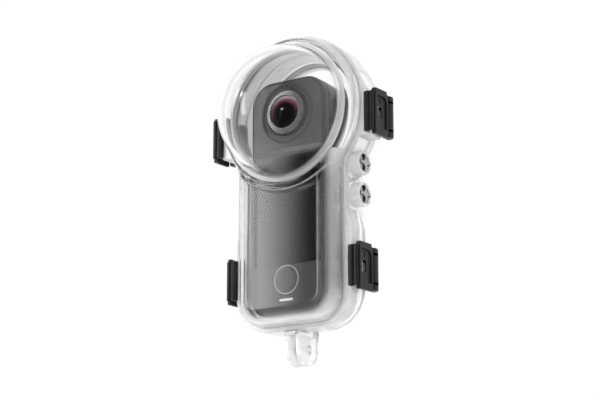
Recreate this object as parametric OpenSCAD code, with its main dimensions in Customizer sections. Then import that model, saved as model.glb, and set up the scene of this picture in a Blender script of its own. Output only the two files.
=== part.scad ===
// Pocket 360 action camera latched inside a clear two-domed dive housing.
// Millimetres. +Z is up, +Y runs from the screen side to the back, and the origin is the
// centre of the cross hole in the two mounting fingers.

/* [Camera] */
// Width of the camera body
camera_w = 46; // [44:0.5:47]
// Height of the camera body
camera_h = 123.6; // [121:0.2:125]
// Depth of the camera body without its lenses
camera_d = 26; // [24:0.5:26]
// Height of the camera's bottom above the finger hole
camera_bottom = 16.6; // [16.6:0.2:18]
// How far each fisheye lens stands out from the camera's mid plane
lens_reach = 18.8; // [17.5:0.1:20]

/* [Housing] */
// Outer radius of each dome
dome_r = 35; // [34:0.5:35]
// Wall of the domes
dome_wall = 2.5; // [2:0.1:3]
// Outer radius of the round head behind the domes
head_r = 41; // [40.5:0.5:41.5]
// Half width of the housing's neck and body
body_half_w = 30.5; // [30:0.5:31]
// Wall of the two shells
wall = 3; // [2.5:0.1:3]
// Distance from the mid plane to the front shell's flat window
front_window = 19.4; // [19:0.2:19.8]
// Distance from the mid plane to the rear shell's flat window
rear_window = 17.4; // [17.4:0.2:18]
// Where the two shells part, measured along Y
parting_y = -6; // [-6.5:0.5:-6]

/* [Latches] */
// Height of the upper latch pair
upper_latch_z = 116.2; // [114:0.2:118]
// Height of the lower latch pair
lower_latch_z = 38.5; // [36:0.5:40]
// Length of a latch along the housing's side
latch_h = 24; // [22:1:24]

/* [Push buttons] */
// Height of the power push button
power_z = 92.5; // [92:0.5:93]
// Height of the quick push button
quick_z = 76.2; // [75:0.2:77]
// Travel of a housing push button
push_travel = 1.4; // [1:0.1:1.4]

/* [Mounting fingers] */
// Diameter of the cross hole
finger_hole_d = 5.1; // [5:0.1:5.3]
// Thickness of each finger
finger_t = 3; // [2.8:0.1:3]
// Gap between the fingers
finger_gap = 3.2; // [3.1:0.1:3.4]

/* [Hidden] */
$fn = 64;
CORNERS = ["right_upper", "right_lower", "left_upper", "left_lower"];
PUSHES = ["power", "quick"];

// Colours
CLEAR = [0.86, 0.88, 0.9, 0.35];
SEAL = [0.8, 0.82, 0.84, 0.6];
LATCH_BLACK = [0.06, 0.06, 0.065];
STEEL = [0.75, 0.76, 0.78];
CAMERA_GREY = [0.22, 0.22, 0.23];
DARK_GREY = [0.12, 0.12, 0.125];
GLASS_BLACK = [0.02, 0.02, 0.022];
PALE = [0.85, 0.85, 0.86];

// Camera positions
camera_top = camera_bottom + camera_h;
camera_half_w = camera_w / 2;
camera_face = camera_d / 2;
camera_corner_top = 12.5;
camera_corner_bottom = 12;
lens_z = camera_top - 18.2;
camera_wall = 1.6;
cover_depth = 3.6;
frame_half_d = camera_face - cover_depth;

// Lens stack, as radii from the lens axis and depths from the mid plane
lens_glass_r = 8.5;
lens_glass_back = 12;
lens_bore_r = 8.6;
lens_barrel_r = 12.4;
lens_ring_in = 12.5;
lens_ring_out = 16.4;
lens_barrel_back = 5;
lens_barrel_front = camera_face + 3.4;

// Screen and front controls
screen_half_w = 20.6;
screen_bottom = camera_bottom + 25.5;
screen_top = screen_bottom + 57.5;
shutter_z = camera_bottom + 17.9;
shutter_r = 6.7;
shutter_ring_r = 7.6;
shutter_travel = 0.4;
status_z = camera_bottom + 7.6;
status_half_w = 4.2;
status_h = 1.3;

// Camera's right side, with the fluted grip
grip_bottom = screen_bottom;
grip_top = grip_bottom + 45;
grip_half_d = 8;
flute_pitch = 3.2;
flute_r = 1.1;
side_button_half_h = 3.6;
side_button_half_d = 1.7;
side_button_out = 0.9;
side_button_gap = push_travel / 2 + 0.02;

// Shell form; slack keeps the rounding tools clear of the outline's own faces
slack = 0.3;
head_face = 15.4;
head_wall = 2;
head_corner = 5;
body_corner = 15;
edge_r = 8.5;
neck_fillet = 12;
body_bottom = camera_bottom - 1.6 - wall;
front_cavity = front_window - wall;
rear_cavity = rear_window - wall;
dome_centre = 15.4;
spigot_back = head_face - head_wall;
arc_n = 10;
rib_t = 1.4;
rib_gap = 0.15;

// Flange round the parting line
flange_r = head_r + 1.3;
flange_neck = body_half_w + 1.3;
flange_low = body_half_w + 5;
flange_bottom = body_bottom - 2.6;
flange_front = 2.3;
flange_rear = 11.2;
flare_top = 70.5;
flare_bottom = 57.5;
gasket_in = 1.4;
gasket_out = 3.2;
gasket_deep = 2.2;

// Dome seats
dome_lip_r = dome_r + 2.2;
dome_lip_t = 1;
dome_spigot_r = dome_r;
dome_seal_in = dome_r + 0.4;
dome_seal_out = dome_r + 1.6;
dome_seal_t = 0.4;
step_r = dome_lip_r + 0.8;
step_top = 24;

// Latch geometry: a is measured outward from the pad and y along Y
pad_upper = flange_low + 10;
pad_lower = flange_low;
pad_half_h = latch_h / 2 - 0.6;
fulcrum_a = 1.9;
fulcrum_y = 2;
link_pin_a = 2;
link_pin_y = 7;
pin_r = 0.7;
pin_fit = 0.04;
knuckle_r = 1.5;
ear_in = 4.2;
ear_out = 6.2;
knuckle_in = 6.5;
link_plate_in = 3.7;
link_plate_out = 5.2;
link_plate_front = -8.7;
link_plate_rear = 3.4;
hook_front = -10.8;
hook_back = -9.3;
hook_half_h = latch_h / 2 - 1.7;
hook_lip_deep = 1.2;
hook_gap = 0.05;
groove_floor = 3.3;
window_half_h = 2.6;
window_half_d = 1.2;
lever_bar_front = 4;
lever_bar_rear = 10.8;

// Push buttons
boss_r = 6.3;
boss_base_r = 7.8;
boss_base_end = body_half_w + 2;
boss_end = body_half_w + 8;
well_r = 4.9;
well_bottom = body_half_w + 2.5;
push_head_r = 4.6;
push_head_t = 2.6;
push_head_out = boss_end + 0.8;
shaft_r = 1.5;
bushing_r = 3;
bushing_in = body_half_w - wall - 0.6;
shaft_seal_r = 2.4;
clip_r = 2.7;
clip_t = 0.6;

// Fingers
finger_tip_r = 8;
finger_pad_half = 9.5;
finger_inner = finger_gap / 2;
finger_outer = finger_inner + finger_t;

// ---- Outlines in the XZ plane -------------------------------------------------------

function arc(cx, cz, r, a0, a1, n = arc_n) =
    [for (i = [0:n]) let (a = a0 + (a1 - a0) * i / n) [cx + r * cos(a), cz + r * sin(a)]];

function reversed(p) = [for (i = [len(p) - 1:-1:0]) p[i]];

function both_sides(p) = concat(p, [for (q = reversed(p)) [-q[0], q[1]]]);

// Right half of the head and neck: the head's arc, then the concave fillet down to half_w
function head_and_neck(r, half_w, fillet) =
    let (cx = half_w + fillet, dz = sqrt(pow(r + fillet, 2) - cx * cx), a = atan2(dz, cx))
    concat(arc(0, lens_z, r, 90, -a, 28), arc(cx, lens_z - dz, fillet, 180 - a, 180, 6));

// Body outline grown by g all round
function body_outline(g) =
    both_sides(concat(
        head_and_neck(head_r + g, body_half_w + g, neck_fillet - g),
        arc(body_half_w - body_corner, body_bottom + body_corner, body_corner + g, 0, -90)));

// Flange outline, which flares out below the neck for the lower latches
function flange_outline() =
    both_sides(concat(
        head_and_neck(flange_r, flange_neck, neck_fillet - 1.3),
        [for (k = [0:6]) let (t = k / 6, s = t * t * (3 - 2 * t))
            [flange_neck + (flange_low - flange_neck) * s, flare_top + (flare_bottom - flare_top) * t]],
        arc(flange_low - body_corner - 5, flange_bottom + body_corner + 5, body_corner + 5, 0, -90)));

// Rounded rectangle for the camera, inset by g
function camera_outline(g) =
    let (w = camera_half_w - g, rt = camera_corner_top - g, rb = camera_corner_bottom - g)
    both_sides(concat(
        arc(w - rt, camera_top - g - rt, rt, 90, 0),
        arc(w - rb, camera_bottom + g + rb, rb, 0, -90)));

// ---- Tools --------------------------------------------------------------------------

// A shape drawn in (x, z) and given depth from y0 to y1
module slab(y0, y1) {
    translate([0, y1, 0]) rotate([90, 0, 0]) linear_extrude(y1 - y0) children();
}

// A profile drawn as (radius, depth) and turned round the lens axis
module turned() {
    translate([0, 0, lens_z]) rotate([-90, 0, 0]) rotate_extrude($fn = 96) children();
}

// A round bar along X, Y or Z between two places
module bar_x(x0, x1, y, z, r) {
    translate([x0, y, z]) rotate([0, 90, 0]) cylinder(h = x1 - x0, r = r);
}

module bar_y(x, y0, y1, z, r) {
    translate([x, y0, z]) rotate([-90, 0, 0]) cylinder(h = y1 - y0, r = r);
}

module bar_z(x, y, z0, z1, r) {
    translate([x, y, z0]) cylinder(h = z1 - z0, r = r);
}

module box(x0, x1, y0, y1, z0, z1) {
    translate([x0, y0, z0]) cube([x1 - x0, y1 - y0, z1 - z0]);
}

module front() {
    mirror([0, 1, 0]) children();
}

// ---- Shells -------------------------------------------------------------------------

// Section of the body seen from above, from depth d0 to the window at d1
function body_section(half_w, d0, d1, edge) =
    both_sides(concat([[0, d1]], arc(half_w - edge, d1 - edge, edge, 90, 0, 6), [[half_w, d0]]));

// Side view of the body: the window's lower edge is rounded
function bottom_section(z0, d0, d1, edge) =
    concat([[d0, z0]], arc(d1 - edge, z0 + edge, edge, -90, 0, 6), [[d1, lens_z], [d0, lens_z]]);

// The head turned round the lens axis
function head_profile(r, d0, d1, edge) =
    concat([[0, d0], [r, d0]], arc(r - edge, d1 - edge, edge, 0, 90, 6), [[0, d1]]);

// Solid form of one shell from depth d0 to its window at d1, grown by g. The round head
// stops at its own face, and the window steps down to that face round the dome.
module shell_form(d0, d1, g) {
    edge = edge_r + g;
    half_w = body_half_w + g;
    bottom = body_bottom - g;
    face = head_face - (g < 0 ? head_wall : 0);
    slab(d0, d1 - edge) polygon(body_outline(g));
    turned() polygon(head_profile(head_r + g + 0.05, d0, face, head_corner + g));
    difference() {
        intersection() {
            slab(d0, d1) polygon(body_outline(g));
            translate([0, 0, bottom - 1]) linear_extrude(lens_z - bottom + 1)
                polygon(body_section(half_w + slack, d0 - slack, d1, edge));
            rotate([90, 0, 90]) linear_extrude(2 * half_w + 2, center = true)
                polygon(bottom_section(bottom - slack, d0 - slack, d1, edge));
        }
        bar_y(0, face, d1 + 1, lens_z, step_r - g);
        box(-head_r, head_r, face, d1 + 1, lens_z - step_top, lens_z + 1);
    }
}

// Pads that bring the flange out to the upper latches, tangent to the head above
module upper_pads(y0, y1) {
    inner = head_r - 8;
    top = upper_latch_z + pad_half_h - lens_z;
    r = flange_r - 0.4;
    tangent = atan2(top, pad_upper) + acos(r / norm([pad_upper, top]));
    for (side = [0, 1]) mirror([side, 0, 0]) slab(y0, y1) translate([0, lens_z]) polygon([
        [pad_upper, top], [r * cos(tangent), r * sin(tangent)],
        [inner, top], [inner, top - 2 * pad_half_h], [pad_upper, top - 2 * pad_half_h]]);
}

// Opening that a dome's spigot drops into
module dome_opening() {
    bar_y(0, spigot_back - 1, head_face + 1, lens_z, dome_spigot_r);
}

// Ribs that hold the camera sideways, between depths d0 and d1
module side_ribs(d0, d1) {
    for (side = [-1, 1], z = [26, 58])
        translate([side > 0 ? camera_half_w + rib_gap : -body_half_w + wall - 1, d0, z])
            cube([body_half_w - wall + 1 - camera_half_w - rib_gap, d1 - d0, rib_t]);
}

// Rests that hold the camera's bottom and faces
module floor_rests(d0, d1) {
    for (side = [-1, 1])
        translate([side * 8 - rib_t / 2, d0, body_bottom + wall - 1])
            cube([rib_t, d1 - d0, camera_bottom - rib_gap - body_bottom - wall + 1]);
}

// Sloped bites out of the flange's front edge, which the latches' hooks pull on
module hook_bites() {
    face = parting_y - flange_front;
    for (i = [0:3]) place_latch(i)
        linear_extrude(2 * hook_half_h + 0.4, center = true) polygon([
            [-hook_lip_deep, face], [-hook_lip_deep - 1, face - 1], [1, face - 1],
            [1, face + hook_lip_deep], [0, face + hook_lip_deep]]);
}

module front_shell() {
    color(CLEAR) front() difference() {
        union() {
            difference() {
                union() {
                    shell_form(-parting_y, front_window, 0);
                    slab(-parting_y, -parting_y + flange_front) polygon(flange_outline());
                    upper_pads(-parting_y, -parting_y + flange_front);
                }
                shell_form(-parting_y - 1, front_cavity, -wall);
            }
            side_ribs(-parting_y + 0.5, 10);
            floor_rests(-parting_y + 0.5, 10);
        }
        dome_opening();
        front() hook_bites();
    }
}

// Ears that hold a latch's fulcrum pin, on the pad at x
module latch_ears(x, z) {
    for (s = [-1, 1])
        translate([0, 0, z + (s > 0 ? ear_in : -ear_out)]) {
            bar_z(x + fulcrum_a, fulcrum_y, 0, ear_out - ear_in, knuckle_r);
            box(x - 1, x + fulcrum_a, fulcrum_y - knuckle_r, fulcrum_y + knuckle_r,
                0, ear_out - ear_in);
        }
}

module at_each_latch() {
    for (side = [0, 1], row = [0, 1])
        mirror([side, 0, 0]) children(row);
}

module push_boss(z) {
    bar_x(body_half_w - wall + 0.5, boss_end, 0, z, boss_r);
    bar_x(body_half_w - wall + 0.5, boss_base_end, 0, z, boss_base_r);
}

module push_boss_cut(z) {
    bar_x(well_bottom, boss_end + 1, 0, z, well_r);
    bar_x(bushing_in - 1, well_bottom + 1, 0, z, bushing_r);
}

module rear_shell() {
    color(CLEAR) difference() {
        union() {
            difference() {
                union() {
                    shell_form(parting_y, rear_window, 0);
                    slab(parting_y, parting_y + flange_rear) polygon(flange_outline());
                    upper_pads(parting_y, parting_y + flange_rear);
                    at_each_latch() {
                        latch_ears(pad_upper, upper_latch_z);
                        latch_ears(pad_lower, lower_latch_z);
                    }
                    push_boss(power_z);
                    push_boss(quick_z);
                }
                shell_form(parting_y - 1, rear_cavity, -wall);
            }
            side_ribs(parting_y + 2.5, 10);
            floor_rests(parting_y + 2.5, 10);
        }
        dome_opening();
        box(body_half_w - 8, boss_end, parting_y - 4, parting_y, quick_z - 9, power_z + 9);
        slab(parting_y - 1, parting_y + gasket_deep) difference() {
            polygon(body_outline(gasket_out - wall));
            polygon(body_outline(gasket_in - wall));
        }
        push_boss_cut(power_z);
        push_boss_cut(quick_z);
        at_each_latch() {
            bar_z(pad_upper + fulcrum_a, fulcrum_y, upper_latch_z - 7, upper_latch_z + 7, pin_r);
            bar_z(pad_lower + fulcrum_a, fulcrum_y, lower_latch_z - 7, lower_latch_z + 7, pin_r);
        }
    }
}

module main_gasket() {
    color(SEAL) slab(parting_y, parting_y + gasket_deep) difference() {
        polygon(body_outline(gasket_out - wall));
        polygon(body_outline(gasket_in - wall));
    }
}

// ---- Domes --------------------------------------------------------------------------

module rear_dome() {
    inner_r = dome_r - dome_wall;
    color(CLEAR) difference() {
        union() {
            intersection() {
                translate([0, dome_centre, lens_z]) sphere(r = dome_r, $fn = 128);
                bar_y(0, dome_centre, dome_centre + dome_r + 1, lens_z, dome_r + 1);
            }
            bar_y(0, spigot_back, dome_centre, lens_z, dome_spigot_r);
            bar_y(0, head_face + dome_seal_t, head_face + dome_seal_t + dome_lip_t, lens_z, dome_lip_r);
        }
        translate([0, dome_centre, lens_z]) sphere(r = inner_r, $fn = 128);
        bar_y(0, spigot_back - 1, dome_centre, lens_z, inner_r);
    }
}

module rear_dome_seal() {
    color(SEAL) turned() polygon([
        [dome_seal_in, head_face], [dome_seal_out, head_face],
        [dome_seal_out, head_face + dome_seal_t], [dome_seal_in, head_face + dome_seal_t]]);
}

// ---- Fingers ------------------------------------------------------------------------

module mount_fingers() {
    base = body_bottom - 2.6;
    color(CLEAR) difference() {
        union() {
            for (s = [-1, 1])
                translate([s > 0 ? finger_inner : -finger_outer, 0, 0]) {
                    bar_x(0, finger_t, 0, 0, finger_tip_r);
                    rotate([90, 0, 90]) linear_extrude(finger_t)
                        polygon([[-finger_tip_r, 0], [finger_tip_r, 0],
                                 [finger_pad_half, base - 1.5], [-finger_pad_half, base - 1.5]]);
                }
            box(-finger_outer, finger_outer, -finger_pad_half, finger_pad_half, base - 1.6, base);
        }
        bar_x(-finger_outer - 1, finger_outer + 1, 0, 0, finger_hole_d / 2);
    }
}

// ---- Latches ------------------------------------------------------------------------

// Every latch is drawn for the right side at z = 0 with its pad at x = 0
module place_latch(i) {
    x = i % 2 == 0 ? pad_upper : pad_lower;
    z = i % 2 == 0 ? upper_latch_z : lower_latch_z;
    mirror([i < 2 ? 0 : 1, 0, 0]) translate([x, 0, z]) children();
}

// Plate with a rolled hook at its front and two arms down to the link pin
module latch_link() {
    half = latch_h / 2;
    face = parting_y - flange_front - hook_gap;
    color(LATCH_BLACK) difference() {
        union() {
            box(link_plate_in, link_plate_out, link_plate_front, link_plate_rear, -half, half);
            linear_extrude(2 * hook_half_h, center = true) polygon([
                [groove_floor, link_plate_front + 0.6], [2.2, link_plate_front + 0.6],
                [0.1, face + hook_lip_deep], [0, face + hook_lip_deep], [-hook_lip_deep, face],
                [-hook_lip_deep, hook_front + 0.9], [-0.3, hook_front], [3.6, hook_front],
                [4.6, hook_front + 0.7], [4.6, hook_back], [groove_floor, hook_back]]);
            box(groove_floor - 0.6, link_plate_in + 0.2, link_plate_front, link_plate_front + 2,
                -hook_half_h, hook_half_h);
            for (s = [-1, 1])
                translate([0, 0, s > 0 ? knuckle_in : -knuckle_in - 2]) {
                    bar_z(link_pin_a, link_pin_y, 0, 2, knuckle_r);
                    box(link_pin_a - 0.8, link_plate_in + 0.1, link_plate_rear - 2, link_plate_rear,
                        0, 2);
                    box(link_pin_a - 0.8, link_pin_a + knuckle_r, link_plate_rear - 2, link_pin_y,
                        0, 2);
                }
        }
        box(link_plate_out - 0.5, link_plate_out + 1, -6.4, 1.6, -6.5, 6.5);
        box(link_plate_in - 1, link_plate_out + 1, -2.6 - window_half_d, -2.6 + window_half_d,
            -window_half_h, window_half_h);
        bar_z(link_pin_a, link_pin_y, -half, half, pin_r + pin_fit);
    }
}

// Grip bar behind the plate, with a short arm to the fulcrum pin
module latch_lever() {
    half = latch_h / 2 - 1;
    mid_y = (lever_bar_front + lever_bar_rear) / 2;
    color(LATCH_BLACK) difference() {
        union() {
            linear_extrude(2 * half, center = true) polygon(concat(
                [[3.7, lever_bar_front]],
                arc(2.2, mid_y, lever_bar_rear - mid_y, 62, -16, 1)));
            difference() {
                bar_z(1.9, mid_y, -half, half, lever_bar_rear - mid_y);
                box(-9, 0.5, -20, 20, -20, 20);
                box(-9, 9, -20, lever_bar_front, -20, 20);
            }
            box(fulcrum_a - knuckle_r, fulcrum_a + knuckle_r - 0.2, fulcrum_y, mid_y, -ear_in + 0.2, ear_in - 0.2);
            bar_z(fulcrum_a, fulcrum_y, -ear_in + 0.2, ear_in - 0.2, knuckle_r);
        }
        for (s = [-1, 1])
            translate([0, 0, s > 0 ? knuckle_in - 0.2 : -knuckle_in - 2.2])
                box(-1, 9, lever_bar_front - 1, link_pin_y + knuckle_r + 0.2, 0, 2.4);
        bar_z(fulcrum_a, fulcrum_y, -half, half, pin_r + pin_fit);
        bar_z(link_pin_a, link_pin_y, -half + 1.5, half - 1.5, pin_r);
    }
}

module latch_link_pin() {
    half = latch_h / 2 - 2.5;
    color(STEEL) bar_z(link_pin_a, link_pin_y, -half, half, pin_r);
}

module latch_fulcrum_pins() {
    color(STEEL) for (i = [0:3])
        place_latch(i) bar_z(fulcrum_a, fulcrum_y, -ear_out, ear_out, pin_r);
}

// ---- Push buttons -------------------------------------------------------------------

function push_z(i) = i == 0 ? power_z : quick_z;

// Round head with a cross-shaped recess
module push_head(z) {
    color(STEEL) difference() {
        bar_x(push_head_out - push_head_t, push_head_out, 0, z, push_head_r);
        for (turn = [0, 90])
            translate([push_head_out - 0.9, 0, z]) rotate([turn, 0, 0])
                translate([0, -0.7, -3.2]) cube([2, 1.4, 6.4]);
        bar_x(push_head_out - push_head_t - 1, push_head_out - push_head_t + 1.2, 0, z, shaft_r);
    }
}

module push_shaft(z) {
    color(STEEL) difference() {
        bar_x(camera_half_w + side_button_out + side_button_gap, push_head_out - push_head_t + 1.2, 0, z, shaft_r);
        translate([bushing_in - 0.3 - clip_t, 0, z]) rotate([0, 90, 0]) difference() {
            cylinder(h = clip_t, r = shaft_r + 1);
            cylinder(h = clip_t, r = shaft_r - 0.35);
        }
    }
}

module push_clip(z) {
    color(STEEL) translate([bushing_in - 0.3 - clip_t, 0, z]) rotate([0, 90, 0]) difference() {
        cylinder(h = clip_t, r = clip_r);
        translate([0, 0, -1]) cylinder(h = clip_t + 2, r = shaft_r - 0.35);
        translate([-0.9, 0, -1]) cube([1.8, 4, clip_t + 2]);
    }
}

// Coil spring between the well's floor and the head
module push_spring(z) {
    turns = 3;
    steps = turns * 16;
    wire = 0.25;
    coil_r = 3.5;
    x0 = well_bottom + wire;
    x1 = push_head_out - push_head_t - wire;
    function coil_point(i) =
        let (a = 360 * turns * i / steps)
        [x0 + (x1 - x0) * i / steps, coil_r * cos(a), z + coil_r * sin(a)];
    points = [for (i = [0:steps], k = [0:5])
        let (a = 360 * turns * i / steps, b = 60 * k, out = coil_r + wire * cos(b), p = coil_point(i))
        [p[0] + wire * sin(b), out * cos(a), z + out * sin(a)]];
    faces = concat(
        [[for (k = [0:5]) k]],
        [[for (k = [5:-1:0]) steps * 6 + k]],
        [for (i = [0:steps - 1], k = [0:5]) let (j = (k + 1) % 6)
            [i * 6 + k, (i + 1) * 6 + k, (i + 1) * 6 + j, i * 6 + j]]);
    color(STEEL) polyhedron(points, faces, convexity = 6);
}

module push_bushings() {
    color(PALE) for (z = [power_z, quick_z]) difference() {
        bar_x(bushing_in, well_bottom, 0, z, bushing_r);
        bar_x(bushing_in - 1, well_bottom + 1, 0, z, shaft_r + 0.05);
        bar_x(bushing_in + 1.6, bushing_in + 2.8, 0, z, shaft_seal_r);
    }
}

module push_shaft_seals() {
    color(DARK_GREY) for (z = [power_z, quick_z]) difference() {
        bar_x(bushing_in + 1.7, bushing_in + 2.7, 0, z, shaft_seal_r);
        bar_x(bushing_in, bushing_in + 4, 0, z, shaft_r + 0.05);
    }
}

// ---- Camera -------------------------------------------------------------------------

// Vertical flutes along a side panel whose outer face is at x
module flutes(x, z0, z1) {
    for (i = [-2:2]) bar_z(x + 0.5, i * flute_pitch, z0 + 2, z1 - 2, flute_r);
}

module camera_frame() {
    inner = camera_half_w - camera_wall;
    color(CAMERA_GREY) difference() {
        slab(-frame_half_d, frame_half_d) difference() {
            polygon(camera_outline(0));
            polygon(camera_outline(camera_wall));
        }
        box(inner - 1, camera_half_w + 1, -grip_half_d, grip_half_d, grip_bottom, grip_top);
        box(-camera_half_w - 1, -inner + 1, -grip_half_d, grip_half_d, grip_bottom, grip_top);
        box(inner - 1, camera_half_w + 1, -side_button_half_d - 0.1, side_button_half_d + 0.1,
            power_z - side_button_half_h - 0.1, power_z + side_button_half_h + 0.1);
        box(inner - 1, camera_half_w + 1, -5.5, 5.5, camera_bottom + 13, grip_bottom - 3);
        bar_z(0, 0, camera_bottom - 1, camera_bottom + 3, 4.6);
    }
}

// Front or rear cover, drawn facing +Y
module cover() {
    slab(frame_half_d, camera_face) polygon(camera_outline(0));
}

module cover_hollow() {
    slab(frame_half_d - 1, camera_face - camera_wall) polygon(camera_outline(camera_wall));
    bar_y(0, frame_half_d - 1, camera_face + 1, lens_z, lens_ring_in);
}

module camera_front_cover() {
    color(CAMERA_GREY) front() difference() {
        cover();
        cover_hollow();
        box(-screen_half_w, screen_half_w, frame_half_d, camera_face + 1, screen_bottom, screen_top);
        bar_y(0, frame_half_d, camera_face + 1, shutter_z, shutter_ring_r + 0.15);
        box(-status_half_w, status_half_w, frame_half_d, camera_face + 1,
            status_z - status_h / 2, status_z + status_h / 2);
    }
}

module camera_rear_cover() {
    color(CAMERA_GREY) difference() {
        cover();
        cover_hollow();
    }
}

module rear_lens_ring() {
    color(CAMERA_GREY) turned() polygon([
        [lens_ring_in, camera_face], [lens_ring_out, camera_face], [lens_ring_out, camera_face + 0.5],
        [15.3, camera_face + 1.1], [13.4, camera_face + 1.6], [lens_ring_in, camera_face + 1.6]]);
}

module rear_lens_barrel() {
    color(DARK_GREY) turned() polygon([
        [lens_bore_r, lens_barrel_back], [lens_barrel_r, lens_barrel_back],
        [lens_barrel_r, lens_barrel_front - 0.8], [lens_barrel_r - 1, lens_barrel_front],
        [lens_bore_r + 0.6, lens_barrel_front], [lens_bore_r, lens_barrel_front - 1]]);
}

module rear_lens_glass() {
    cap_h = lens_reach - camera_face - 2;
    cap_r = (lens_glass_r * lens_glass_r + cap_h * cap_h) / (2 * cap_h);
    color(GLASS_BLACK) intersection() {
        translate([0, lens_reach - cap_r, lens_z]) sphere(r = cap_r, $fn = 96);
        bar_y(0, lens_glass_back, lens_reach + 1, lens_z, lens_glass_r);
    }
}

module rear_image_sensor() {
    color(DARK_GREY) box(-6.5, 6.5, 3.4, 4.8, lens_z - 5, lens_z + 5);
}

module screen_glass() {
    color(GLASS_BLACK) box(-screen_half_w, screen_half_w, -camera_face - 0.05, -camera_face + 1.2,
        screen_bottom, screen_top);
}

module display_panel() {
    color(DARK_GREY) box(-screen_half_w + 1, screen_half_w - 1, -camera_face + 1.2, -camera_face + 2.8,
        screen_bottom + 1.5, screen_top - 2);
}

module shutter_button() {
    color(CAMERA_GREY) {
        bar_y(0, -camera_face - 0.1, -camera_face + 2, shutter_z, shutter_r);
        bar_y(0, -camera_face + 1, -camera_face + 2, shutter_z, shutter_ring_r);
    }
}

module shutter_ring() {
    color(PALE) difference() {
        bar_y(0, -camera_face - 0.2, -camera_face + 1, shutter_z, shutter_ring_r);
        bar_y(0, -camera_face - 1, -camera_face + 2, shutter_z, shutter_r);
    }
}

module status_light() {
    color(PALE) box(-status_half_w, status_half_w, -camera_face - 0.05, -camera_face + 1.4,
        status_z - status_h / 2, status_z + status_h / 2);
}

module side_button(z) {
    color(DARK_GREY) box(camera_half_w - 1.4, camera_half_w + side_button_out,
        -side_button_half_d, side_button_half_d, z - side_button_half_h, z + side_button_half_h);
}

module side_grip() {
    color(CAMERA_GREY) difference() {
        box(camera_half_w - camera_wall, camera_half_w, -grip_half_d, grip_half_d, grip_bottom, grip_top);
        flutes(camera_half_w, grip_bottom, quick_z - side_button_half_h - 1);
        box(camera_half_w - 3, camera_half_w + 1, -side_button_half_d - 0.1, side_button_half_d + 0.1,
            quick_z - side_button_half_h - 0.1, quick_z + side_button_half_h + 0.1);
    }
}

module usb_door() {
    color(DARK_GREY) box(camera_half_w - camera_wall, camera_half_w, -5.5, 5.5,
        camera_bottom + 13, grip_bottom - 3);
}

// Battery pack, whose fluted outer wall closes the camera's left side
module battery() {
    color(CAMERA_GREY) difference() {
        box(-camera_half_w, -6, -grip_half_d, grip_half_d, grip_bottom, grip_top);
        mirror([1, 0, 0]) flutes(camera_half_w, grip_bottom, grip_top);
    }
}

module main_board() {
    color("darkgreen") box(-4, 19, 2, 3.2, camera_bottom + 10, lens_z - 8);
}

module heat_spreader() {
    color("peru") box(-3, 17, 3.2, 4.2, camera_bottom + 20, lens_z - 16);
}

module memory_card() {
    color(DARK_GREY) box(2, 13, 0.9, 2, camera_bottom + 12, camera_bottom + 27);
}

module tripod_nut() {
    color("goldenrod") difference() {
        bar_z(0, 0, camera_bottom, camera_bottom + 7, 4.6);
        bar_z(0, 0, camera_bottom - 1, camera_bottom + 8, 2.75);
    }
}

// ---- Assembly -----------------------------------------------------------------------

rear_shell();
front_shell();
main_gasket();
mount_fingers();
rear_dome();
front() rear_dome();  // front_dome
rear_dome_seal();
front() rear_dome_seal();  // front_dome_seal
for (i = [0:3]) {
    place_latch(i) latch_lever();
    place_latch(i) latch_link();
    place_latch(i) latch_link_pin();
}
latch_fulcrum_pins();
push_bushings();
push_shaft_seals();
for (i = [0:1]) {
    push_head(push_z(i));
    push_shaft(push_z(i));
    push_clip(push_z(i));
    push_spring(push_z(i));
    side_button(push_z(i));
}
camera_frame();
camera_front_cover();
camera_rear_cover();
rear_lens_ring();
front() rear_lens_ring();  // front_lens_ring
rear_lens_barrel();
front() rear_lens_barrel();  // front_lens_barrel
rear_lens_glass();
front() rear_lens_glass();  // front_lens_glass
rear_image_sensor();
front() rear_image_sensor();  // front_image_sensor
screen_glass();
display_panel();
shutter_button();
shutter_ring();
status_light();
side_grip();
usb_door();
battery();
main_board();
heat_spreader();
memory_card();
tripod_nut();
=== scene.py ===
import math

import bmesh
import bpy
from mathutils import Matrix, Vector


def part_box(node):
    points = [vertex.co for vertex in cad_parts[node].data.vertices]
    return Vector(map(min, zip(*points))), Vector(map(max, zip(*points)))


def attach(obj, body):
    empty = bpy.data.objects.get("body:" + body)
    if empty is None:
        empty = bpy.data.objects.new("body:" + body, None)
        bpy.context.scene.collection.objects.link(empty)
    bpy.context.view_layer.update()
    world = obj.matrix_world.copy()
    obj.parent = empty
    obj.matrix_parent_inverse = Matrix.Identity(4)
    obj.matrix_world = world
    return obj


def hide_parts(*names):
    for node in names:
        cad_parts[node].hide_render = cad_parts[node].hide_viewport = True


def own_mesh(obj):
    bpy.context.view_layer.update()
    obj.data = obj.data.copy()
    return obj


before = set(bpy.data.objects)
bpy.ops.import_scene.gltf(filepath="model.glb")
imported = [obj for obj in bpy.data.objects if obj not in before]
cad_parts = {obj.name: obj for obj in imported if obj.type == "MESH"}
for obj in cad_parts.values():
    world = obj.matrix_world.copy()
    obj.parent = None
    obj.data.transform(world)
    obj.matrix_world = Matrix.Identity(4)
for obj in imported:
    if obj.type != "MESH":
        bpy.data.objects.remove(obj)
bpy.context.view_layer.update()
MM = 0.001

# ---- Studio -------------------------------------------------------------------------
# The housing hangs in an even white studio: a pale floor well below it, a broad soft
# light above and to the left, weaker fills from the right and from the front, and a
# dark end on the screen's side that keeps the lens and the latches black.

camera_mid_z = sum(corner.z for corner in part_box("camera_frame")) / 2

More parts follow.
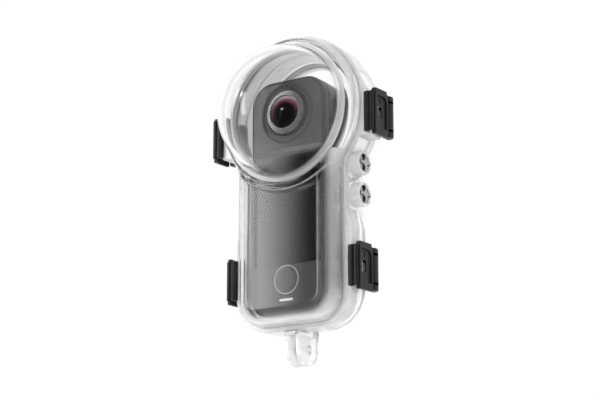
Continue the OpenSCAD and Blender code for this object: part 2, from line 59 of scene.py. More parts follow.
AZIMUTH = math.radians(34.5)
ELEVATION = math.radians(-13.9)
DISTANCE = 0.92
toward_camera = Vector((
    math.sin(AZIMUTH) * math.cos(ELEVATION),
    -math.cos(AZIMUTH) * math.cos(ELEVATION),
    math.sin(ELEVATION),
))
aim = Vector((-1.18 * MM, 0, camera_mid_z + 0.26 * MM))
lens_data = bpy.data.cameras.new("studio_camera")
lens_data.lens = 107.1
lens_data.sensor_width = 36
lens_data.clip_start = 0.01
studio_camera = bpy.data.objects.new("studio_camera", lens_data)
studio_camera.location = aim + toward_camera * DISTANCE
studio_camera.rotation_euler = (-toward_camera).to_track_quat("-Z", "Y").to_euler()
bpy.context.scene.collection.objects.link(studio_camera)
bpy.context.scene.camera = studio_camera


class Value:
    """A shader socket that takes part in plain sums."""

    def __init__(self, finish, socket):
        self.finish, self.socket = finish, socket

    def math(self, operation, first, second=None):
        inputs = {0: first} if second is None else {0: first, 1: second}
        return self.finish.node("ShaderNodeMath", {"operation": operation}, inputs)["Value"]

    def __add__(self, other):
        return self.math("ADD", self, other)

    def __radd__(self, other):
        return self.math("ADD", other, self)

    def __sub__(self, other):
        return self.math("SUBTRACT", self, other)

    def __rsub__(self, other):
        return self.math("SUBTRACT", other, self)

    def __mul__(self, other):
        return self.math("MULTIPLY", self, other)

    def __rmul__(self, other):
        return self.math("MULTIPLY", other, self)

    def __gt__(self, other):
        return self.math("GREATER_THAN", self, other)

    def __lt__(self, other):
        return self.math("LESS_THAN", self, other)

    def absolute(self):
        return self.math("ABSOLUTE", self)

    def larger(self, other):
        return self.math("MAXIMUM", self, other)

    def root(self):
        return self.math("SQRT", self)


class Finish:
    """A node tree being filled in; every node comes from node()."""

    def __init__(self, owner):
        self.owner = owner
        owner.use_nodes = True
        self.tree = owner.node_tree
        self.tree.nodes.clear()

    def node(self, kind, settings=None, inputs=None):
        made = self.tree.nodes.new(kind)
        for name, value in (settings or {}).items():
            if name == "stops":
                while len(made.color_ramp.elements) > 1:
                    made.color_ramp.elements.remove(made.color_ramp.elements[-1])
                for i, (place, colour) in enumerate(value):
                    stop = made.color_ramp.elements[0] if i == 0 else made.color_ramp.elements.new(place)
                    stop.position, stop.color = place, colour
            else:
                setattr(made, name, value)
        for name, value in (inputs or {}).items():
            if isinstance(value, Value):
                self.tree.links.new(value.socket, made.inputs[name])
            else:
                made.inputs[name].default_value = value
        return Sockets(self, made)

    def fade(self, value, start, end, low=0.0, high=1.0):
        """Eases from low to high while the value goes from start to end."""
        return self.node("ShaderNodeMapRange", {"interpolation_type": "SMOOTHSTEP"}, {
            "Value": value, "From Min": start, "From Max": end, "To Min": low, "To Max": high})["Result"]

    def blend(self, share, first, second):
        """A colour that goes from the first to the second as the share grows."""
        mix = self.node("ShaderNodeMix", {"data_type": "RGBA"}, {"Factor": share, 6: first, 7: second})
        return Value(self, mix.made.outputs[2])


class Sockets:
    """A node's outputs by name."""

    def __init__(self, finish, made):
        self.finish, self.made = finish, made

    def __getitem__(self, name):
        return Value(self.finish, self.made.outputs[name])


world = bpy.data.worlds.new("white_studio")
bpy.context.scene.world = world
sky = Finish(world)
direction = sky.node("ShaderNodeTexCoord")["Generated"]
behind = sky.node("ShaderNodeVectorMath", {"operation": "DOT_PRODUCT"},
                  {0: direction, 1: tuple(-toward_camera)})["Value"]
white_wall = sky.fade(behind, 0.0, 0.8)
heading = sky.node("ShaderNodeSeparateXYZ", None, {"Vector": direction})
lit_half = sky.fade(heading["Y"], -0.7, 0.0)
ceiling = sky.fade(heading["Z"], -0.5, 0.8)
BACKDROP_WHITE = (1.02, 1.02, 1.02, 1)
sides = sky.blend(ceiling, (0.8, 0.8, 0.81, 1), (0.95, 0.95, 0.96, 1))
ends = sky.blend(lit_half, (0.08, 0.08, 0.081, 1), sides)
room = sky.blend(white_wall, ends, BACKDROP_WHITE)
# Seen straight or through clear plastic the backdrop is white; mirrored, it is the room
path = sky.node("ShaderNodeLightPath")
even_light = sky.blend(path["Diffuse Depth"] > 0.5, BACKDROP_WHITE, (1.18, 1.18, 1.19, 1))
backdrop = sky.blend(path["Glossy Depth"] < 0.5, room, even_light)
room_light = sky.node("ShaderNodeBackground", None, {"Color": backdrop, "Strength": 1.0})
sky.node("ShaderNodeOutputWorld", None, {"Surface": room_light["Background"]})

# Name, place from the aim, size, power and whether it shows in reflections
SOFTBOXES = [
    ("overhead_left", (-0.75, -0.75, 0.95), (0.7, 0.7), 16, False),
    ("right_wall", (1.1, -0.2, 0.3), (0.5, 0.9), 4, False),
    ("front_fill", (0.1, -1.3, 0.1), (0.5, 0.5), 4, False),
    ("small_spark", (-0.62, -0.66, 0.36), (0.05, 0.05), 2.5, True),
]
for name, place, size, power, shines in SOFTBOXES:
    lamp = bpy.data.lights.new(name, "AREA")
    lamp.shape = "RECTANGLE"
    lamp.size, lamp.size_y = size
    lamp.energy = power
    softbox = bpy.data.objects.new(name, lamp)
    softbox.location = aim + Vector(place)
    softbox.rotation_euler = Vector(place).to_track_quat("Z", "Y").to_euler()
    softbox.visible_camera = False
    softbox.visible_glossy = shines
    softbox.visible_transmission = shines
    bpy.context.scene.collection.objects.link(softbox)

# A reflector card that the flat window and the screen mirror: bright on its left, so
# that they carry a sheen that falls off to the right.
card_way = Vector((-math.sin(AZIMUTH), -math.cos(AZIMUTH), 0))
card_left = Vector((-math.cos(AZIMUTH), math.sin(AZIMUTH), 0))
CARD_REACH, CARD_RISE = 0.875, 0.28
CARD_RIGHT, CARD_LEFT, CARD_LOW, CARD_TOP = -0.06, 0.13, -0.28, 0.2
card_centre = card_way * CARD_REACH + Vector((0, 0, CARD_RISE))
card_mesh = bpy.data.meshes.new("reflector_card")
card_mesh.from_pydata([card_left * a + Vector((0, 0, b)) for a, b in (
    (CARD_RIGHT, CARD_LOW), (CARD_LEFT, CARD_LOW), (CARD_LEFT, CARD_TOP), (CARD_RIGHT, CARD_TOP))],
    [], [(0, 1, 2, 3)])
card = bpy.data.objects.new("reflector_card", card_mesh)
card.location = card_centre
card.visible_camera = False
card.visible_shadow = False
bpy.context.scene.collection.objects.link(card)
card_glow = bpy.data.materials.new("reflector_card")
sheet = Finish(card_glow)
across = sheet.node("ShaderNodeVectorMath", {"operation": "DOT_PRODUCT"},
                    {0: sheet.node("ShaderNodeTexCoord")["Object"], 1: tuple(card_left)})["Value"]
light = sheet.node("ShaderNodeEmission", None, {"Strength": sheet.fade(across, -0.034, 0.05, 0.0, 4.3)})
sheet.node("ShaderNodeOutputMaterial", None, {"Surface": light["Emission"]})
card_mesh.materials.append(card_glow)

floor_mesh = bpy.data.meshes.new("floor")
FLOOR_HALF = 3
FLOOR_DROP = 0.03
floor_mesh.from_pydata(
    [(-FLOOR_HALF, -FLOOR_HALF, 0), (FLOOR_HALF, -FLOOR_HALF, 0),
     (FLOOR_HALF, FLOOR_HALF, 0), (-FLOOR_HALF, FLOOR_HALF, 0)], [], [(0, 1, 2, 3)])
floor = bpy.data.objects.new("floor", floor_mesh)
floor.location.z = studio_camera.location.z - FLOOR_DROP
floor.visible_glossy = False
floor.visible_transmission = False
bpy.context.scene.collection.objects.link(floor)
floor_paint = bpy.data.materials.new("pale_floor")
paint = Finish(floor_paint)
mottle = paint.node("ShaderNodeTexNoise", None, {"Scale": 3.0, "Detail": 3.0})["Fac"]
pale = paint.node("ShaderNodeValToRGB", {"stops": [(0.3, (0.86, 0.86, 0.86, 1)), (0.7, (0.9, 0.9, 0.9, 1))]},
                  {"Fac": mottle})["Color"]
paper = paint.node("ShaderNodeBsdfPrincipled", None, {"Base Color": pale, "Roughness": 0.8})
paint.node("ShaderNodeOutputMaterial", None, {"Surface": paper["BSDF"]})
floor_mesh.materials.append(floor_paint)

cycles = bpy.context.scene.cycles
cycles.use_denoising = True
cycles.max_bounces = 48
cycles.transmission_bounces = 48
cycles.transparent_max_bounces = 24
cycles.glossy_bounces = 48
cycles.diffuse_bounces = 4
cycles.caustics_reflective = False
cycles.caustics_refractive = True
cycles.blur_glossy = 0.3
cycles.sample_clamp_indirect = 6
bpy.context.scene.view_settings.view_transform = "Standard"
bpy.context.scene.view_settings.look = "None"

# ---- Clear shells -------------------------------------------------------------------
# Two shells injection moulded in clear polycarbonate meet at a flange. The front one is
# a shallow tray with a raised window over the screen; the rear one is deeper and carries
# the latch pads and the two button bosses. Their edges are rolled and highly polished.

# Millimetres: depths run along Y, heights are above the fingers' cross hole
LENS_Z = (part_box("front_dome")[0].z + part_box("front_dome")[1].z) / 2 / MM
SHELL_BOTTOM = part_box("rear_shell")[0].z / MM + 2.6
PARTING = -6.0
HEAD_R = 41.0
NECK_HALF = 30.5
BODY_CORNER = 15.0
FRONT_WINDOW = 19.4
REAR_WINDOW = 17.4
HEAD_FACE = 15.4
HEAD_WALL = 2.0
HEAD_CORNER = 5.0
STEP_R = 38.0
STEP_TOP = 24.0
SHELL_WALL = 2.6
WINDOW_ROLL = 9.0
FLANGE_FRONT = -8.3
FLANGE_REAR = 5.2
FLANGE_MIDDLE = 1.5
FLARE_HALF = 35.5
WAIST = 56
DOME_HOLE_R = 35.02
BEYOND = 40
RING_SIDES = 160


def arc(cx, cz, r, start, end, steps):
    turn = [math.radians(start + (end - start) * i / steps) for i in range(steps + 1)]
    return [(cx + r * math.cos(a), cz + r * math.sin(a)) for a in turn]


def straight(start, end, steps):
    return [(start[0] + (end[0] - start[0]) * i / steps, start[1] + (end[1] - start[1]) * i / steps)
            for i in range(1, steps)]


def both_halves(right):
    return right + [(-x, z) for x, z in reversed(right[1:-1])]


def body_outline(grow):
    """Head, fillet, neck and rounded bottom, in (x, z)."""
    fillet = 12 - grow
    half, r = NECK_HALF + grow, HEAD_R + grow
    cx = half + fillet
    drop = math.sqrt((r + fillet) ** 2 - cx ** 2)
    meet = math.degrees(math.atan2(drop, cx))
    low = SHELL_BOTTOM + BODY_CORNER
    right = arc(0, LENS_Z, r, 90, -meet, 56)
    right += arc(cx, LENS_Z - drop, fillet, 180 - meet, 180, 12)[1:]
    right += straight((half, LENS_Z - drop), (half, low), 14)
    right += arc(NECK_HALF - BODY_CORNER, low, BODY_CORNER + grow, 0, -90, 20)
    right += straight((NECK_HALF - BODY_CORNER, SHELL_BOTTOM - grow), (0, SHELL_BOTTOM - grow), 5)
    right.append((0, SHELL_BOTTOM - grow))
    return both_halves(right)


def flange_outline(grow):
    """The parting flange, which flares below the neck for the lower latches."""
    fillet = 11 - grow
    half, low_half, r = NECK_HALF + 1.2 + grow, FLARE_HALF + grow, HEAD_R + 1.3 + grow
    cx = half + fillet
    drop = math.sqrt((r + fillet) ** 2 - cx ** 2)
    meet = math.degrees(math.atan2(drop, cx))
    corner = 21.0
    bottom = SHELL_BOTTOM - 2.4
    right = arc(0, LENS_Z, r, 90, -meet, 56)
    right += arc(cx, LENS_Z - drop, fillet, 180 - meet, 180, 10)[1:]
    flare_top, flare_low = 70.5, 57.0
    right += straight((half, LENS_Z - drop), (half, flare_top), 6)
    for i in range(15):
        t = i / 14
        ease = t * t * (3 - 2 * t)
        right.append((half + (low_half - half) * ease, flare_top + (flare_low - flare_top) * t))
    right += straight((low_half, flare_low), (low_half, bottom + corner), 6)
    right += arc(FLARE_HALF - corner, bottom + corner, corner + grow, 0, -90, 22)
    right += straight((FLARE_HALF - corner, bottom - grow), (0, bottom - grow), 5)
    right.append((0, bottom - grow))
    return both_halves(right)


def piece_from(name, mesh):
    bmesh.ops.recalc_face_normals(mesh, faces=mesh.faces)
    data = bpy.data.meshes.new(name)
    mesh.to_mesh(data)
    mesh.free()
    made = bpy.data.objects.new(name, data)
    bpy.context.scene.collection.objects.link(made)
    return made


def solid_from_rings(name, rings):
    """A closed mesh through rings of equal length; the ends are filled flat."""
    count = len(rings[0])
    mesh = bmesh.new()
    verts = [[mesh.verts.new(Vector(p) * MM) for p in ring] for ring in rings]
    for near, far in zip(verts, verts[1:]):
        for i in range(count):
            j = (i + 1) % count
            mesh.faces.new((near[i], near[j], far[j], far[i]))
    mesh.faces.new(list(reversed(verts[0])))
    mesh.faces.new(verts[-1])
    return piece_from(name, mesh)


def carve(target, tool, operation):
    """Joins or cuts with an exact boolean and takes the tool away."""
    step = target.modifiers.new("carve", "BOOLEAN")
    step.object, step.operation, step.solver = tool, operation, "EXACT"
    bake_modifiers(target)
    bpy.data.objects.remove(tool)


def bake_modifiers(target):
    bpy.context.view_layer.update()
    seen = target.evaluated_get(bpy.context.evaluated_depsgraph_get())
    data = bpy.data.meshes.new_from_object(seen)
    old = target.data
    target.modifiers.clear()
    target.data = data
    bpy.data.meshes.remove(old)


def soften(target, angle=35):
    """Smooth shading that keeps edges sharper than the angle."""
    for face in target.data.polygons:
        face.use_smooth = True
    mesh = bmesh.new()
    mesh.from_mesh(target.data)
    for edge in mesh.edges:
        if len(edge.link_faces) == 2:
            edge.smooth = edge.calc_face_angle(0) < math.radians(angle)
    mesh.to_mesh(target.data)
    mesh.free()
    level = target.modifiers.new("flat_faces_stay_flat", "WEIGHTED_NORMAL")
    level.keep_sharp, level.weight = True, 80
    bake_modifiers(target)


def close_slivers(target):
    """Fills the few triangles that joining the flange and the pads leaves open."""
    mesh = bmesh.new()
    mesh.from_mesh(target.data)
    bmesh.ops.holes_fill(mesh, edges=[edge for edge in mesh.edges if edge.is_boundary], sides=4)
    bmesh.ops.recalc_face_normals(mesh, faces=mesh.faces)
    mesh.to_mesh(target.data)
    mesh.free()


def round_rod(name, start, end, radius, sides=48):
    """A plain cylinder between two points, for joining and cutting."""
    start, end = Vector(start), Vector(end)
    axis = (end - start).normalized()
    side = axis.orthogonal().normalized()
    up = axis.cross(side)
    ring = [(side * math.cos(a) + up * math.sin(a)) * radius
            for a in (math.tau * i / sides for i in range(sides))]
    return solid_from_rings(name, [[start + p for p in ring], [end + p for p in ring]])


def rolled_block(name, outline, depths):
    """A plate with rolled edges: depths holds (depth along Y, growth of the outline)."""
    return solid_from_rings(name, [[(x, y, z) for x, z in outline(grow)] for y, grow in depths])


def roll(start, end, radius, steps, outer=0.0):
    """Depths and insets of a quarter-round edge that ends flat at end."""
    way = 1 if end > start else -1
    turn = [math.pi / 2 * i / steps for i in range(steps + 1)]
    return [(start, outer)] + [(end - way * radius * (1 - math.sin(a)), outer - radius * (1 - math.cos(a)))
                               for a in turn]


def turned_ring(name, profile, segments=RING_SIDES):
    """A ring or disc turned about the lens axis: profile holds (radius, depth)."""
    rings = []
    for i in range(segments):
        a = math.tau * i / segments
        rings.append([(r * math.cos(a), y, LENS_Z + r * math.sin(a)) for r, y in profile])
    mesh = bmesh.new()
    verts = [[mesh.verts.new(Vector(p) * MM) for p in ring] for ring in rings]
    for i in range(segments):
        near, far = verts[i], verts[(i + 1) % segments]
        for k in range(len(profile)):
            m = (k + 1) % len(profile)
            mesh.faces.new((near[k], near[m], far[m], far[k]))
    bmesh.ops.remove_doubles(mesh, verts=mesh.verts, dist=1e-7)
    bmesh.ops.delete(mesh, geom=[e for e in mesh.edges if not e.link_faces], context="EDGES")
    return piece_from(name, mesh)


def clear_plastic(name, tint, haze, index, milk=0.0, clear_share=0.0):
    """Polished clear moulding: handling marks, a trace of haze and milky walls."""
    made = bpy.data.materials.new(name)
    finish = Finish(made)
    place = finish.node("ShaderNodeTexCoord")["Object"]
    marks = finish.node("ShaderNodeTexNoise", None, {"Vector": place, "Scale": 260.0, "Detail": 4.0})["Fac"]
    roughness = marks * (haze * 0.6) + haze * 0.5
    plastic = finish.node("ShaderNodeBsdfPrincipled", None, {
        "Base Color": tint, "Roughness": roughness, "IOR": index, "Transmission Weight": 1.0})
    surface = plastic["BSDF"]
    if milk or clear_share:
        # Walls and edges look milky, faces square to the lens axis stay clear
        upright = finish.node("ShaderNodeSeparateXYZ", None, {
            "Vector": finish.node("ShaderNodeTexCoord")["Normal"]})["Y"].absolute()
        walls = finish.fade(upright, 0.98, 0.6)
        spot = finish.node("ShaderNodeSeparateXYZ", None, {"Vector": place})
        from_flange = (spot["Y"] + FLANGE_MIDDLE * MM).absolute()
        flange_zone = finish.fade(from_flange, 8.2 * MM, 6.4 * MM)
        from_waist = (spot["Z"] - WAIST * MM).absolute()
        height = finish.fade(from_waist, 24 * MM, 42 * MM, 0.4, 0.85)
        cloud = (walls * height).larger(flange_zone) * (milk + marks * (milk * 0.3)) + clear_share
        white = finish.node("ShaderNodeBsdfPrincipled", None, {
            "Base Color": (0.93, 0.935, 0.94, 1), "Roughness": 0.45})
        surface = finish.node("ShaderNodeMixShader", None, {0: cloud, 1: surface, 2: white["BSDF"]})["Shader"]
    finish.node("ShaderNodeOutputMaterial", None, {"Surface": surface})
    return made


POLYCARBONATE = (0.97, 0.973, 0.977, 1)
shell_plastic = clear_plastic("shell_plastic", POLYCARBONATE, 0.01, 1.45, milk=0.33, clear_share=0.003)


def hollow_form(name, window, wall, side):
    """Outer rolled form of one shell, or its cavity when wall is more than nothing."""
    start = PARTING - side * (0.01 if wall else 0)
    face = HEAD_FACE - (HEAD_WALL if wall else 0)
    reach = window - wall
    body = rolled_block(name, body_outline, roll(start, side * reach, WINDOW_ROLL - wall, 12, -wall))
    # The window ends at a round step below the dome, whose edge is rounded over
    stack = [(face, 0), (reach - 1.7, 0), (reach - 1.1, 0.12), (reach - 0.5, 0.5), (reach - 0.12, 1.1),
             (reach + 0.05, 1.7), (BEYOND, 1.8)]
    step = solid_from_rings("step", [
        [((STEP_R + wall + grow) * math.cos(a), side * y, LENS_Z + (STEP_R + wall + grow) * math.sin(a))
         for a in (math.tau * (i + 0.5) / RING_SIDES for i in range(RING_SIDES))] for y, grow in stack])
    carve(body, step, "DIFFERENCE")
    above = solid_from_rings("above", [
        [(-60, side * face, z), (60, side * face, z), (60, side * BEYOND, z), (-60, side * BEYOND, z)]
        for z in (LENS_Z - STEP_TOP, LENS_Z + 60)])
    carve(body, above, "DIFFERENCE")
    r, corner = HEAD_R - wall, HEAD_CORNER - wall
    edge = [(r - corner + corner * math.sin(a), side * (face - corner + corner * math.cos(a)))
            for a in (math.pi / 2 * i / 10 for i in range(11))]
    outside = [(r + 6, side * (face - corner)), (r + 6, side * BEYOND), (r - corner, side * BEYOND)]
    trim = turned_ring("head_roll", edge + outside)
    below = solid_from_rings("below", [
        [(-60, side * 60, z), (60, side * 60, z), (60, -side * 10, z), (-60, -side * 10, z)]
        for z in (LENS_Z - 80, LENS_Z - STEP_TOP)])
    carve(trim, below, "DIFFERENCE")
    carve(body, trim, "DIFFERENCE")
    return body


def dome_hole(side):
    return round_rod("dome_hole", (0, side * 5, LENS_Z), (0, side * 30, LENS_Z), DOME_HOLE_R, RING_SIDES)


PAD_HALF = 11.4
BITE_HALF = 10.5
PAD_R = HEAD_R + 0.9
CORNERS = ("right_upper", "right_lower", "left_upper", "left_lower")


def latch_seat(corner):
    """Side sign, pad face and height of a latch, read from the plate that hooks on it."""
    low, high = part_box("latch_link_" + corner)
    side = 1 if corner.startswith("right") else -1
    outer = (high.x if side > 0 else -low.x) / MM
    return side, outer - 5.2, (low.z + high.z) / 2 / MM


def eased(profile, r, steps=4):
    """Rounds the corners of a closed profile; an entry may carry its own radius."""
    out, count = [], len(profile)
    for i, entry in enumerate(profile):
        here = Vector(entry[:2])
        near, far = Vector(profile[i - 1][:2]), Vector(profile[(i + 1) % count][:2])
        radius = entry[2] if len(entry) > 2 else r
        back, ahead = (near - here), (far - here)
        reach = min(radius, back.length * 0.45, ahead.length * 0.45)
        start, end = here + back.normalized() * reach, here + ahead.normalized() * reach
        for k in range(steps + 1):
            t = k / steps
            p = start * (1 - t) ** 2 + here * 2 * t * (1 - t) + end * t ** 2
            out.append((p.x, p.y))
    return out


def latch_block(name, corner, a0, a1, y0, y1, z0, z1):
    side, pad, middle = latch_seat(corner)
    return solid_from_rings(name, [
        [(side * (pad + a), y, middle + z) for a, y in ((a0, y0), (a1, y0), (a1, y1), (a0, y1))]
        for z in (z0, z1)])


def latch_rod(name, corner, a, y, z0, z1, r):
    side, pad, middle = latch_seat(corner)
    return round_rod(name, (side * (pad + a), y, middle + z0), (side * (pad + a), y, middle + z1), r, 32)


def upper_pad(corner, depths):
    """Brings the flange out to an upper latch, tangent to the head above."""
    side, pad, middle = latch_seat(corner)
    top, low = middle + PAD_HALF, middle - PAD_HALF
    tangent = math.atan2(top - LENS_Z, pad) + math.acos(PAD_R / math.hypot(pad, top - LENS_Z))
    outline = eased([(pad, top, 1.2), (PAD_R * math.cos(tangent), LENS_Z + PAD_R * math.sin(tangent), 0.1),
                     (HEAD_R - 8, LENS_Z, 0.1), (HEAD_R - 12, low, 0.1), (pad, low, 1.2)], 0.1)
    centre = (pad - 8, middle)
    rings = []
    for y, grow in depths:
        k = 1 + grow / 12
        rings.append([(side * (centre[0] + (x - centre[0]) * k), y, centre[1] + (z - centre[1]) * k)
                      for x, z in outline])
    return solid_from_rings("pad", rings)


def hook_bite(corner):
    """Sloped recess in the flange's front edge, which the latch's hook pulls on."""
    side, pad, middle = latch_seat(corner)
    face = -FLANGE_FRONT
    bite = ((-1.2, -face), (-2.2, -face - 1), (1, -face - 1), (1, -face + 1.2), (0, -face + 1.2))
    return solid_from_rings("bite", [
        [(side * (pad + a), y, middle + z) for a, y in bite] for z in (-BITE_HALF, BITE_HALF)])


front_edge = [(PARTING - 0.02, -0.1), (PARTING - 0.3, 0), (FLANGE_FRONT + 0.6, 0),
              (FLANGE_FRONT + 0.18, -0.2), (FLANGE_FRONT, -0.55)]
front_shell = hollow_form("front_shell_clear", FRONT_WINDOW, 0, -1)
carve(front_shell, rolled_block("flange", flange_outline, front_edge), "UNION")
for corner in ("right_upper", "left_upper"):
    carve(front_shell, upper_pad(corner, [(y + 0.01, grow) for y, grow in front_edge]), "UNION")
carve(front_shell, hollow_form("front_cavity", FRONT_WINDOW, SHELL_WALL, -1), "DIFFERENCE")
carve(front_shell, dome_hole(-1), "DIFFERENCE")
for corner in CORNERS:
    carve(front_shell, hook_bite(corner), "DIFFERENCE")
close_slivers(front_shell)
soften(front_shell)
front_shell.data.materials.clear()
front_shell.data.materials.append(shell_plastic)
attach(front_shell, "front_case")
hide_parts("front_shell")

# Rear shell: its bosses carry the push buttons and its ears the latches' fulcrum pins
BOSS_R, BOSS_END = 6.3, 38.5
BOSS_BASE_R, BOSS_BASE_END = 7.8, 32.5
WELL_R, WELL_FLOOR = 4.9, 33.0
EAR_IN, EAR_OUT = 4.2, 6.2
# Fulcrum pin's place on its pad, and the eyes that the latches' pins run through
FULCRUM_OUT, FULCRUM_DEEP = 1.9, 2.0
EYE_R = 1.48


def turned_along_x(name, middle, profile, sides=72):
    """A boss or cap turned about an axis along X: profile holds (x, radius)."""
    turn = [math.tau * i / sides for i in range(sides)]
    return solid_from_rings(name, [
        [(x, r * math.cos(a), middle + r * math.sin(a)) for a in turn] for x, r in profile])


# Below it stand two fingers on a flared foot; a thumb screw through their cross hole
# clamps them between the fingers of a mount
FINGER_IN, FINGER_OUT = 1.6, 4.6
FINGER_TIP_R = 8.0
FINGER_HOLE_R = 2.55
FOOT_TOP = SHELL_BOTTOM - 2.65


def finger_outline(grow):
    """Side view of one finger, (y, z): round tip, flanks flaring into the foot."""
    tip = [((FINGER_TIP_R + grow) * math.cos(a), (FINGER_TIP_R + grow) * math.sin(a))
           for a in (math.radians(-180 + 180 * i / 32) for i in range(33))]
    flank = [(FINGER_TIP_R + grow + 1.4 * (i / 8) ** 3, FOOT_TOP * i / 8) for i in range(1, 9)]
    return tip + flank + [(-y, z) for y, z in reversed(flank)]


def finger_plate(x_near, x_far):
    soft = 0.55
    sections = [(x_near, -soft), (x_near + soft * 0.3, -soft * 0.3), (x_near + soft, 0),
                (x_far - soft, 0), (x_far - soft * 0.3, -soft * 0.3), (x_far, -soft)]
    return solid_from_rings("finger", [[(x, y, z) for y, z in finger_outline(grow)] for x, grow in sections])


def foot_block(name, y0, y1, z0, z1, half):
    corners = eased([(-half, y0), (half, y0), (half, y1), (-half, y1)], 1.2)
    return solid_from_rings(name, [[(x, y, z) for x, y in corners] for z in (z0, z1)])


rear_edge = [(PARTING, 0), (FLANGE_REAR - 0.6, 0), (FLANGE_REAR - 0.18, -0.2), (FLANGE_REAR, -0.55)]
push_heights = [sum(c.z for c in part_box(push + "_push_head")) / 2 / MM for push in ("power", "quick")]
rear_shell = hollow_form("rear_shell_clear", REAR_WINDOW, 0, 1)
carve(rear_shell, rolled_block("flange", flange_outline, rear_edge), "UNION")
for corner in ("right_upper", "left_upper"):
    carve(rear_shell, upper_pad(corner, rear_edge), "UNION")
for middle in push_heights:
    boss = turned_along_x("boss", middle, [
        (NECK_HALF - 2, BOSS_BASE_R), (BOSS_BASE_END - 0.8, BOSS_BASE_R),
        (BOSS_BASE_END - 0.2, BOSS_BASE_R - 0.25), (BOSS_BASE_END, BOSS_BASE_R - 0.8),
        (BOSS_BASE_END + 0.1, BOSS_R + 0.3), (BOSS_BASE_END + 0.4, BOSS_R),
        (BOSS_END - 0.7, BOSS_R), (BOSS_END - 0.2, BOSS_R - 0.2), (BOSS_END, BOSS_R - 0.6)])
    keep_clear = solid_from_rings("keep_clear", [
        [(20, -12, z), (50, -12, z), (50, PARTING, z), (20, PARTING, z)] for z in (middle - 9, middle + 9)])
    carve(boss, keep_clear, "DIFFERENCE")
    carve(rear_shell, boss, "UNION")
for corner in CORNERS:
    for way in (-1, 1):
        near, far = sorted((way * EAR_IN, way * EAR_OUT))
        ear = latch_rod("ear", corner, FULCRUM_OUT, FULCRUM_DEEP, near, far, EYE_R)
        root = latch_block("ear_root", corner, -1, FULCRUM_OUT, 0.53, 3.47, near + 0.01, far - 0.01)
        carve(ear, root, "UNION")
        carve(rear_shell, ear, "UNION")
    bore = latch_rod("pin_bore", corner, FULCRUM_OUT, FULCRUM_DEEP, -EAR_OUT - 1, EAR_OUT + 1, 0.71)
    carve(rear_shell, bore, "DIFFERENCE")
foot = foot_block("foot", PARTING + 0.03, 9.21, FOOT_TOP - 1.05, SHELL_BOTTOM + 1.03, FINGER_OUT - 0.06)
carve(rear_shell, foot, "UNION")
fingers = foot_block("foot_pad", -9.3, 9.3, FOOT_TOP - 2.2, FOOT_TOP, FINGER_OUT)
carve(fingers, finger_plate(FINGER_IN, FINGER_OUT), "UNION")
carve(fingers, finger_plate(-FINGER_OUT, -FINGER_IN), "UNION")
carve(fingers, round_rod("cross_hole", (-10, 0, 0), (10, 0, 0), FINGER_HOLE_R, 64), "DIFFERENCE")
carve(rear_shell, fingers, "UNION")
carve(rear_shell, hollow_form("rear_cavity", REAR_WINDOW, SHELL_WALL, 1), "DIFFERENCE")
carve(rear_shell, dome_hole(1), "DIFFERENCE")
for middle in push_heights:
    well = turned_along_x("well", middle, [
        (22, 3.02), (WELL_FLOOR, 3.03), (WELL_FLOOR + 0.01, WELL_R), (BOSS_END + 1, WELL_R + 0.01)])
    carve(rear_shell, well, "DIFFERENCE")
soften(rear_shell)
rear_shell.data.materials.clear()
rear_shell.data.materials.append(shell_plastic)
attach(rear_shell, "rear_case")
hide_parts("rear_shell", "mount_fingers")

# ---- Domes --------------------------------------------------------------------------
# Each lens looks through a hemisphere of optical polycarbonate, ground and polished so
# that it doesn't bend the picture. A turned lip round its foot sits on the shell.

DOME_R = 34.9
DOME_WALL = 2.2
DOME_CENTRE = 15.4
LIP_R = 37.2
LIP_BACK = HEAD_FACE + 0.4
LIP_FRONT = LIP_BACK + 1.0
FOOT_RISE = 1.9
dome_plastic = clear_plastic("dome_plastic", (0.98, 0.982, 0.985, 1), 0.0, 1.45)
foot_plastic = clear_plastic("dome_foot_plastic", POLYCARBONATE, 0.1, 1.45, clear_share=0.3)
for side, end, body in ((-1, "front", "front_case"), (1, "rear", "rear_case")):
    profile = []
    lip_angle = math.acos((LIP_FRONT - DOME_CENTRE) / DOME_R)
    for i in range(49):
        a = lip_angle * i / 48
        profile.append((DOME_R * math.sin(a), side * (DOME_CENTRE + DOME_R * math.cos(a))))
    profile += [(DOME_R + 0.05, side * LIP_FRONT), (LIP_R - 0.35, side * LIP_FRONT),
                (LIP_R, side * (LIP_FRONT - 0.35)), (LIP_R, side * LIP_BACK),
                (DOME_R + 0.02, side * LIP_BACK), (DOME_R, side * (HEAD_FACE - HEAD_WALL)),
                (DOME_R - DOME_WALL, side * (HEAD_FACE - HEAD_WALL))]
    for i in range(49):
        a = math.pi / 2 * (1 - i / 48)
        inner = DOME_R - DOME_WALL
        profile.append((inner * math.sin(a), side * (DOME_CENTRE + inner * math.cos(a))))
    dome = turned_ring(end + "_dome_clear", profile)
    soften(dome)
    dome.data.materials.append(dome_plastic)
    dome.data.materials.append(foot_plastic)
    for face in dome.data.polygons:
        face.material_index = 1 if abs(face.center.y) < (LIP_FRONT + FOOT_RISE) * MM else 0
    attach(dome, body)
    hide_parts(end + "_dome")

# ---- Seals and gasket ---------------------------------------------------------------
# Translucent silicone rings squeezed under each dome's lip, and one long moulded gasket
# in a groove of the rear shell that the front shell presses on.


